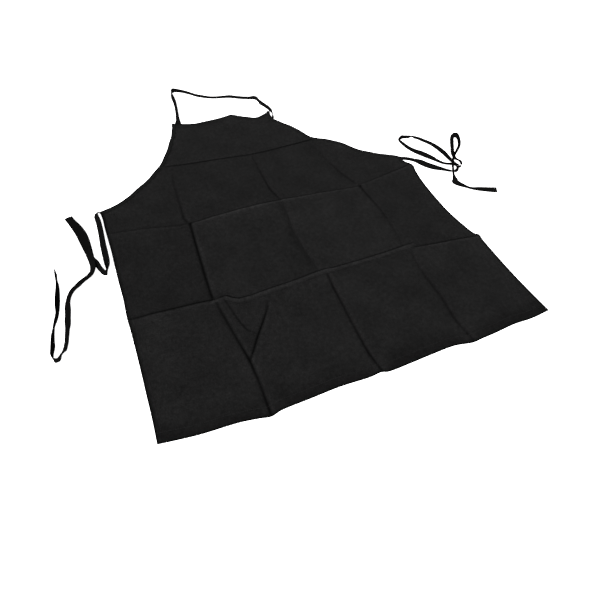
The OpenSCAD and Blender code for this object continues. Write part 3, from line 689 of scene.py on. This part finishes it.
def strand(path, normals, width, rise, sections=6):
    """A thread that follows path, flattened to width and rise, tapering at both ends."""
    path = np.asarray(path, float)
    n = len(path)
    d = np.gradient(path, axis=0)
    d = unit(d)
    nn = np.asarray(normals, float)
    side_ = unit(np.cross(d, nn))
    k = np.ones(n)
    k[0] = k[-1] = 0.35
    rings = np.zeros((n, sections, 3))
    for j in range(sections):
        a = 2 * math.pi * j / sections
        rings[:, j] = path + side_ * (math.cos(a) * width / 2 * k)[:, None] + nn * (math.sin(a) * rise / 2 * k)[:, None]
    return rings


def strands(name, items, material=None):
    """One object from many strands."""
    verts, faces, uv, base = [], [], [], 0
    for rings in items:
        n, k = rings.shape[:2]
        verts.append(rings.reshape(-1, 3))
        faces += [tuple(base + v for v in f) for f in tube(rings)]
        run = np.linspace(0, 1, n)[:, None] * 0.0026 + np.zeros((n, k))
        uv.append(np.stack([run, np.tile(np.arange(k) / k * 0.0012, (n, 1))], -1).reshape(-1, 2))
        base += n * k
    return make(name, np.vstack(verts), faces, material or THREAD, np.vstack(uv))


def end_stitches(name, body, fr):
    p, run, w, f = fr
    items = []
    for a in np.arange(-5.6, 5.7, 2.0):
        path = [p + run * -7.8 + w * (a + t) + f * h for t, h in ((-0.75, 1.14), (-0.4, 1.26), (0.4, 1.26), (0.75, 1.14))]
        items.append(strand(path, [f] * 4, 0.5, 0.3))
    obj = strands(name, items)
    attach(obj, body)
    return obj


left_sew = end_stitches("left_tie_end_thread", "left_tie", left_frame)
right_sew = end_stitches("right_tie_end_thread", "right_tie", right_frame)


# ------------------------------------------------------------------------------------------------ cloth
THICK = 0.6
taken = {}


def add_point(p, gap, points):
    """Keep p if nothing is closer than gap."""
    cx, cy = int(p[0] // 3), int(p[1] // 3)
    for i in range(cx - 2, cx + 3):
        for j in range(cy - 2, cy + 3):
            for q in taken.get((i, j), ()):
                if (q[0] - p[0]) ** 2 + (q[1] - p[1]) ** 2 < gap * gap:
                    return False
    taken.setdefault((cx, cy), []).append((p[0], p[1]))
    points.append((p[0], p[1]))
    return True


points = []
for p in loop:
    taken.setdefault((int(p[0] // 3), int(p[1] // 3)), []).append((p[0], p[1]))
    points.append((p[0], p[1]))
border = len(points)
normal = inward(loop, True)
loop_xy = loop[:, :2]


def inside(xy):
    """Whether each point lies in the outline."""
    xy = np.asarray(xy, float)
    a, b = loop_xy, np.roll(loop_xy, -1, 0)
    odd = np.zeros(len(xy), bool)
    for (ax, ay), (bx, by) in zip(a, b):
        cross = (ay > xy[:, 1]) != (by > xy[:, 1])
        if cross.any():
            x = ax + (xy[:, 1] - ay) / (by - ay + 1e-12) * (bx - ax)
            odd ^= cross & (xy[:, 0] < x)
    return odd


def to_edge(p):
    return edge_tree.find((p[0], p[1], 0))[2]


rows = []
for off, gap in ((0.55, 0.45), (1.6, 0.9), (3.4, 1.5)):
    q = loop_xy + normal * off
    rows += [(p, gap, off) for p in q]
for p, gap, off in rows:
    if to_edge(p) > off * 0.8 - 0.1:
        add_point(p, gap, points)
OFFSETS = {
    "pleat": [0.0, -0.8, -1.6, 1.1, -2.6, 0.4, 1.9, -4.2, -7.8, -8.5, -9.2, 3.2, -6.4, -10.6, 5, -13, 8, -17],
    "other": [0.0, -1.0, 1.0, -2.3, 2.3, -4.5, 4.5, -8, 8],
}
for name, (line, profile, amps) in LINES.items():
    seg = np.concatenate([[0], np.cumsum(np.linalg.norm(np.diff(line, axis=0), axis=1))])
    count = int(seg[-1] / 3.2) + 1
    at = np.linspace(0, seg[-1], count)
    mid = np.stack([np.interp(at, seg, line[:, c]) for c in range(2)], 1)
    d = unit(np.gradient(mid, axis=0))
    nn = np.stack([-d[:, 1], d[:, 0]], 1)
    for k, off in enumerate(OFFSETS["pleat" if name == "h3" else "other"]):
        q = mid + nn * off
        ok = inside(q)
        for i, p in enumerate(q):
            if ok[i] and to_edge(p) > 1.5:
                add_point(p, 0.55 if abs(off) < 3 else 1.3, points)
PITCH = 4.4
g = random.Random(9)
grid = []
for j in range(-95, 96):
    for i in range(-85, 86):
        grid.append((i * PITCH + (PITCH / 2 if j % 2 else 0) + g.uniform(-0.25, 0.25), j * PITCH * 0.87 + g.uniform(-0.25, 0.25)))
grid = np.array(grid)
grid = grid[inside(grid)]
for p in grid:
    if to_edge(p) > 2.6:
        add_point(p, 2.5, points)
co = [Vector(p) for p in points]
edges = [(i, (i + 1) % border) for i in range(border)]
vert2, _, tris, orig, *_ = delaunay_2d_cdt(co, edges, [], 1, 1e-5)
flat = np.array([(v.x, v.y) for v in vert2])
tris = np.array([tuple(t) for t in tris])
area2 = np.cross(flat[tris[:, 1]] - flat[tris[:, 0]], flat[tris[:, 2]] - flat[tris[:, 0]])
tris = np.where((area2 < 0)[:, None], tris[:, ::-1], tris)
top_z = height(flat)
n_flat = len(flat)

# painted light and shade on the cloth: each cell painted lighter or darker as its slope would be lit, painted
# highlights on the crests and painted shade deep in the folds
CELL_SHADING_X = [-360, -212, -196, -14, 8, 184, 200, 360]
CELL_SHADING_Y = [-420, -186, -176, 36, 50, 218, 232, 410]
CELL_SHADING_Z = [
    [1.00, 1.00, 1.03, 1.02, 1.02, 1.01, 1.01, 1.00],
    [1.03, 1.03, 1.02, 1.02, 1.03, 1.02, 1.02, 1.03],
    [0.90, 0.86, 1.00, 0.99, 1.08, 1.05, 0.98, 1.00],
    [0.96, 0.90, 1.04, 1.05, 1.10, 1.07, 0.96, 0.98],
    [0.97, 0.96, 0.93, 0.96, 0.97, 0.97, 0.98, 1.00],
    [0.98, 0.98, 0.95, 0.96, 0.98, 0.99, 1.00, 1.00],
    [1.00, 1.00, 1.00, 1.00, 1.01, 1.01, 1.01, 1.00],
    [1.00, 1.00, 1.00, 1.00, 1.01, 1.01, 1.01, 1.00],
]
# painted shade in the folds, as a share darker, and how wide; painted highlights on the crests beside them
FOLD_PAINTED_SHADING = {
    "h1": (0, -0.97, 2.58, 3.5, 0.14, 2.5), "h2l": (-1, 0.28, 2, 2.5, -0.51, 2.39), "h2": (-2.4, 0.7, 1.9, 1.7, -0.97, 1.94), "h2r": (-1.8, 0.44, 2, 1.6, -0.61, 2.09),
    "h3l": (-3.2, 0.28, 2.4, 1.2, -0.97, 2.24), "h3": (-3.4, 0.38, 2.2, 1, -0.97, 2.54), "h3r": (-2.4, 0.44, 2.2, 1.4, -0.91, 2.24),
    "v1a": (0, -0.7, 2.69, 0, 0, 1), "v1b": (0, -0.97, 3.15, 5.5, 0.24, 3), "v1d": (0, -0.97, 2.69, 5, 0.18, 3),
    "v2b": (0, -0.7, 2.39, 0, 0, 1), "v2c": (-3, -0.24, 8.97, 5, 0.14, 5), "v2d": (-0.5, -0.8, 2.69, 5, 0.14, 3),
    "v3a": (0, -0.45, 2.99, 0, 0, 1), "v3b": (2, -0.7, 2.99, -3, 0.14, 3), "v3c": (0, -0.51, 3.29, 0, 0, 1),
    "pucker_a": (0, -0.97, 2.39, 4.5, 0.2, 3), "pucker_b": (-1.5, -0.61, 2.24, 1.5, 0.2, 1.5),
}


# painted light and shade for the cloth's colour: cell shading, fold shade and crest highlights, dark corner pits, shade
# by the bindings and along the edge
def painted_shading_at(xy):
    t = table(xy[:, 0], xy[:, 1], CELL_SHADING_X, CELL_SHADING_Y, CELL_SHADING_Z)
    for name, (o1, a1, w1, o2, a2, w2) in FOLD_PAINTED_SHADING.items():
        line, profile, amps = LINES[name]
        d, at = nearest(xy, line)
        if name in SWAPPED:
            d = -d
        share = np.interp(at, np.arange(len(amps)), amps) / amps.max()
        t = t * (1 + share * (a1 * np.exp(-(((d - o1) / w1) ** 2)) + a2 * np.exp(-(((d - o2) / w2) ** 2))))
    # painted shade: the four-way corners and a spot below h3 are painted dark like pits, and one spot is painted a
    # little lighter
    for x, y, r, a in ((-195, 30, 5, -0.75), (188, 37, 4, -0.7), (-152, -196, 16, -0.2), (-104, -190, 10, 0.05)):
        q = line_of([(x, y)], 3)[0]
        t = t * (1 + a * np.exp(-((xy - q) ** 2).sum(1) / r**2))
    # the cloth sinks in front of the binding's inner edge, where it lies in shade
    for edge in ("arm_l", "arm_r"):
        d = abs(nearest(xy, EDGES[edge])[0])
        t = t * (1 - 0.5 * np.exp(-(((d - 9.2) / 1.1) ** 2)) + 0.06 * np.exp(-(((d - 13.0) / 2.5) ** 2)))
    # the cloth turns away from the light along its very edge
    d = np.array([to_edge(p) for p in xy])
    t = t * (1 - 0.86 * np.exp(-((d / 4.0) ** 2)))
    return np.clip(t, 0.06, 1.9)


painted_shading = painted_shading_at(flat)
under_z = np.maximum(top_z - THICK, 0.06)
# rim: the upper and lower faces share the outline, and a rounded band closes them
v_top = np.c_[flat, top_z]
v_low = np.c_[flat, under_z]
ring_idx = list(range(border))
back_map = {}
for new, olds in enumerate(orig):
    for o in olds:
        if o < border:
            back_map[o] = new
ring_idx = [back_map[i] for i in range(border)]
out_n = -normal
rim_a = np.c_[loop_xy + out_n * 0.26, top_z[ring_idx] - 0.14]
rim_b = np.c_[loop_xy + out_n * 0.36, top_z[ring_idx] - 0.32]
rim_c = np.c_[loop_xy + out_n * 0.24, top_z[ring_idx] - 0.52]
verts = np.vstack([v_top, v_low, rim_a, rim_b, rim_c])
faces = [tuple(t) for t in tris] + [tuple(t[::-1] + n_flat) for t in tris]
base = 2 * n_flat
for i in range(border):
    j = (i + 1) % border
    a, b = ring_idx[i], ring_idx[j]
    r = [(a, b), (base + i, base + j), (base + border + i, base + border + j), (base + 2 * border + i, base + 2 * border + j), (a + n_flat, b + n_flat)]
    for (p0, p1), (q0, q1) in zip(r, r[1:]):
        faces.append((p0, q0, q1, p1))
uv = np.vstack([flat, flat + 1.3, loop_xy, loop_xy + out_n * 0.3, loop_xy + out_n * 0.6]) / 1000
# the rim band is painted darker (0.3): painted shade along the cloth's edge
cloth = make("apron_cloth", verts, faces, CLOTH, uv, np.concatenate([painted_shading, painted_shading, np.full(3 * border, 0.3)]))
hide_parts("main_panel", "lower_panel")


# ------------------------------------------------------------------------------------------------ hems, bindings
def along(edge, a=0.0, b=1.0):
    """A stretch of an edge, from share a to share b, with its inward normals."""
    line = EDGES[edge]
    n = inward(line)
    k0, k1 = int(a * (len(line) - 1)), int(math.ceil(b * (len(line) - 1)))
    return line[k0 : k1 + 1, :2], n[k0 : k1 + 1]


def band(name, line, normals, profile, material, ripple=0.0, seed=0, painted_shading_value=None):
    """A folded band along an edge. Each profile point is how far it lies inside the edge and how far above the cloth's upper face there."""
    n, k = len(line), len(profile)
    rings = np.zeros((n, k, 3))
    uv_ = np.zeros((n, k, 2))
    s = np.concatenate([[0], np.cumsum(np.linalg.norm(np.diff(line, axis=0), axis=1))])
    loc = random.Random(seed)
    ph = [loc.uniform(0, 6.28) for _ in range(4)]
    wob = ripple * (np.sin(s / 2.1 + ph[0]) * 0.5 + np.sin(s / 3.7 + ph[1]) * 0.6 + np.sin(s / 8.3 + ph[2]) * 0.6)
    girth = 0.0
    for j, (u, h) in enumerate(profile):
        q = line + normals * u
        z = height(q) + h
        if h > 0:
            z = z + wob * min(1.0, max(0.0, u / 3))
        rings[:, j, :2] = q
        rings[:, j, 2] = np.maximum(z, 0.04)
        if j:
            girth += math.hypot(u - profile[j - 1][0], h - profile[j - 1][1])
        uv_[:, j, 0] = s / 1000
        uv_[:, j, 1] = girth / 1000
    obj = make(name, rings.reshape(-1, 3), tube(rings), material, uv_.reshape(-1, 2), None if painted_shading_value is None else np.full(n * k, painted_shading_value))
    return obj


def hem_profile(width):
    top, low = -THICK - 0.04, -THICK - 1.12
    return [(0.15, top - 0.25), (0.45, top), (width * 0.3, top), (width * 0.7, top), (width - 0.5, top), (width - 0.1, top - 0.3), (width - 0.1, low + 0.35), (width - 0.5, low),
            (width * 0.7, low), (width * 0.3, low), (0.5, low), (0.12, low + 0.3), (0.0, (top + low) / 2)]


def hem(name, edge, a, b, width, nodes):
    line, n = along(edge, a, b)
    # the turned hem is painted darker (0.5): painted shade along the edge
    obj = band(name, line, n, hem_profile(width), CLOTH, painted_shading_value=0.5)
    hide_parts(*nodes)
    return obj


def share_at_y(edge, y):
    line = EDGES[edge]
    return float(np.argmin(abs(line[:, 1] - y))) / (len(line) - 1)


bottom_hem = hem("bottom_hem_fold", "bottom", 0.0, 1.0, 18, ["bottom_hem"])
left_side = hem("left_side_hem_fold", "side_l", share_at_y("side_l", 90), share_at_y("side_l", -382), 10, ["left_side_hem", "left_lower_side_hem"])
right_side = hem("right_side_hem_fold", "side_r", share_at_y("side_r", -378), share_at_y("side_r", 76), 10, ["right_side_hem", "right_lower_side_hem"])
# the hem across the bib leaves room for the two tape ends
top_line, top_n = along("top")
keep = (top_line[:, 0] > -120) & (top_line[:, 0] < 78)
# the turned hem is painted darker (0.5): painted shade along the edge
top_hem = band("top_hem_fold", top_line[keep], top_n[keep], hem_profile(25), CLOTH, painted_shading_value=0.5)
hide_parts("top_hem")


def binding_profile():
    w, t = 8.0, THICK
    return [(w, 0.04), (w + 0.15, 0.30), (w - 0.15, 0.58), (w * 0.75, 0.60), (w * 0.45, 0.66), (w * 0.15, 0.62), (0.1, 0.50), (-0.45, 0.22), (-0.78, -0.25), (-0.80, -0.65),
            (-0.62, -1.0), (-0.1, -t - 0.62), (w * 0.3, -t - 0.66), (w * 0.7, -t - 0.66), (w, -t - 0.60), (w, -t - 0.06), (w * 0.6, -t - 0.05), (w * 0.2, -t - 0.05),
            (-0.18, -t - 0.02), (-0.36, -0.32), (-0.16, 0.02), (w * 0.2, 0.04), (w * 0.6, 0.04)]


def binding(name, edge, node, seed):
    line, n = along(edge, 0.004, 0.996)
    obj = band(name, line, n, binding_profile(), BINDING, ripple=0.10, seed=seed)
    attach(obj, "apron")
    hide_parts(node)
    return obj


left_bind = binding("left_armhole_binding_tape", "arm_l", "left_armhole_binding", 3)
right_bind = binding("right_armhole_binding_tape", "arm_r", "right_armhole_binding", 4)


# ------------------------------------------------------------------------------------------------ stitching
def stitch_row(name, edge, inset, above, nodes, a=0.004, b=0.996, keep_if=None, seed=1):
    """A row of separate stitches that dip into the cloth at both ends."""
    line, n = along(edge, a, b)
    line = line + n * inset
    if keep_if is not None:
        ok = keep_if(line)
        line, n = line[ok], n[ok]
    s = np.concatenate([[0], np.cumsum(np.linalg.norm(np.diff(line, axis=0), axis=1))])
    loc = random.Random(seed)
    starts = np.arange(0.5, s[-1] - 3, 3.1)
    ts = np.array([-1.25, -0.95, -0.4, 0.4, 0.95, 1.25])
    hs = np.array([-0.10, 0.05, 0.15, 0.15, 0.05, -0.10])
    at = (starts[:, None] + 1.5 + ts[None, :] + np.array([loc.uniform(-0.12, 0.12) for _ in starts])[:, None]).ravel()
    x, y = (np.interp(at, s, line[:, c]) for c in range(2))
    wob = np.repeat([loc.uniform(-0.12, 0.12) for _ in starts], len(ts))
    nx, ny = (np.interp(at, s, n[:, c]) for c in range(2))
    q = np.stack([x + nx * wob, y + ny * wob], 1)
    z = height(q) + above
    path = np.c_[q, z].reshape(len(starts), len(ts), 3)
    path[:, :, 2] += hs
    up = np.tile([0.0, 0.0, 1.0], (len(ts), 1))
    obj = strands(name, [strand(p, up, 0.62, 0.34) for p in path])
    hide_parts(*nodes)
    return obj


def not_near_ends(line):
    return (line[:, 0] > -142) & (line[:, 0] < 96)


top_sew = stitch_row("top_hem_thread", "top", 23, 0.0, ["top_hem_stitching"], keep_if=not_near_ends, seed=11)
bottom_sew = stitch_row("bottom_hem_thread", "bottom", 16, 0.0, ["bottom_hem_stitching"], seed=12)
left_sew_side = stitch_row("left_side_thread", "side_l", 8, 0.0, ["left_side_stitching", "left_lower_side_stitching"], 0.03, 0.965, seed=13)
right_sew_side = stitch_row("right_side_thread", "side_r", 8, 0.0, ["right_side_stitching", "right_lower_side_stitching"], 0.035, 0.97, seed=14)
left_arm_sew = stitch_row("left_armhole_thread", "arm_l", 6.4, 0.58, ["left_armhole_stitching"], 0.012, 0.975, seed=15)
right_arm_sew = stitch_row("right_armhole_thread", "arm_r", 6.4, 0.58, ["right_armhole_stitching"], 0.025, 0.988, seed=16)
for obj, body in ((top_sew, "apron"), (left_arm_sew, "apron"), (right_arm_sew, "apron"), (bottom_sew, "lower_skirt"), (top_hem, "apron"), (bottom_hem, "lower_skirt")):
    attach(obj, body)
for obj in (cloth, left_side, right_side, left_sew_side, right_sew_side):
    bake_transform(obj)


# ------------------------------------------------------------------------------------------------ tape ends and bartacks
def root_tape(name, node, start, end, width):
    """The sewn-down end of a tape, which follows the underside of the cloth."""
    a, b = np.array(start, float), np.array(end, float)
    d = unit(b - a)
    side_ = np.array([-d[1], d[0]])
    n = 11
    prof = [(-1, -0.5), (-0.98, -0.12), (-0.9, 0.0), (-0.4, 0.0), (0.4, 0.0), (0.9, 0.0), (0.98, -0.12), (1, -0.5), (0.98, -0.88), (0.9, -1.0), (0.4, -0.96), (-0.4, -0.96), (-0.9, -1.0), (-0.98, -0.88)]
    rings = np.zeros((n, len(prof), 3))
    uv_ = np.zeros((n, len(prof), 2))
    for i, t in enumerate(np.linspace(0, 1, n)):
        c = a + (b - a) * t
        q = np.array([c + side_ * u * width / 2 for u, _ in prof])
        zc = height(q)
        rings[i, :, :2] = q
        rings[i, :, 2] = np.maximum(zc - THICK - 0.05 + np.array([h for _, h in prof]) * 0.95, 0.05)
        uv_[i, :, 0] = t * np.linalg.norm(b - a) / 1000
        uv_[i, :, 1] = [u * width / 2000 for u, _ in prof]
    obj = make(name, rings.reshape(-1, 3), tube(rings), TAPE, uv_.reshape(-1, 2))
    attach(obj, "apron")
    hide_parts(node)
    return obj


ROOTS = [
    root_tape("neck_strap_left_end", "neck_strap_left_root", (-132, 366), (-132, 389), 15),
    root_tape("neck_strap_right_end", "neck_strap_right_root", (89, 328), (92, 346), 13),
    root_tape("left_tie_sewn_end", "left_tie_root", (-326, 103), (-348, 107.5), 10),
    root_tape("right_tie_sewn_end", "right_tie_root", (311, 104.5), (330, 103), 9),
]


def bartack(name, node, centre, direction, length, apart):
    """Two short bars of dense zigzag through the cloth and the tape."""
    c = np.array(centre, float)
    d = unit(np.array(direction, float))
    e = np.array([-d[1], d[0]])
    items = []
    for sgn in (-1, 1):
        m = c + e * sgn * apart / 2
        n = int(length / 0.42)
        pts = []
        for i in range(n + 1):
            q = m + d * (-length / 2 + length * i / n) + e * (0.85 if i % 2 else -0.85)
            pts.append(q)
        pts = np.array(pts)
        z = height(pts) + 0.16 + BARTACK_RAISE.get(name, 0)
        path = np.c_[pts, z]
        items.append(strand(path, [[0, 0, 1.0]] * len(path), 0.5, 0.42))
    obj = strands(name, items)
    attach(obj, "apron")
    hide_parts(node)
    return obj


BARTACK_RAISE = {}
TACKS = [
    bartack("left_neck_tack", "left_neck_bartack", (-132, 378), (1, 0.05), 12, 10),
    bartack("right_neck_tack", "right_neck_bartack", (90, 344), (1, 0.05), 11, 9),
    bartack("left_waist_tack", "left_waist_bartack", (-334, 98), (0.1, 1), 6, 9),
    bartack("right_waist_tack", "right_waist_bartack", (321, 91), (0.1, 1), 6, 9),
]

# ------------------------------------------------------------------------------------------------ floor and light
mesh = bpy.data.meshes.new("floor")
mesh.from_pydata([(-6, -6, 0), (6, -6, 0), (6, 6, 0), (-6, 6, 0)], [], [(0, 1, 2, 3)])
floor_obj = bpy.data.objects.new("floor", mesh)
floor_obj.location.z = -0.0004
scene.collection.objects.link(floor_obj)
m = Nodes("pale_floor")
m.principled(Roughness=0.9, Specular_IOR_Level=0.1, Emission_Strength=1.0)
m.bsdf.inputs["Base Color"].default_value = (0.86, 0.86, 0.86, 1)
m.bsdf.inputs["Emission Color"].default_value = (1, 1, 1, 1)
mesh.materials.append(m.mat)

world = bpy.data.worlds.new("studio")
scene.world = world
world.use_nodes = True
world.node_tree.nodes["Background"].inputs["Color"].default_value = (1, 1, 1, 1)
world.node_tree.nodes["Background"].inputs["Strength"].default_value = 0.8


def sun(name, direction, strength, angle):
    light = bpy.data.lights.new(name, "SUN")
    light.energy = strength
    light.angle = math.radians(angle)
    obj = bpy.data.objects.new(name, light)
    obj.rotation_euler = Vector(direction).to_track_quat("-Z", "Y").to_euler()
    scene.collection.objects.link(obj)


sun("key", (0.50, 0.62, -0.62), 9.0, 22)
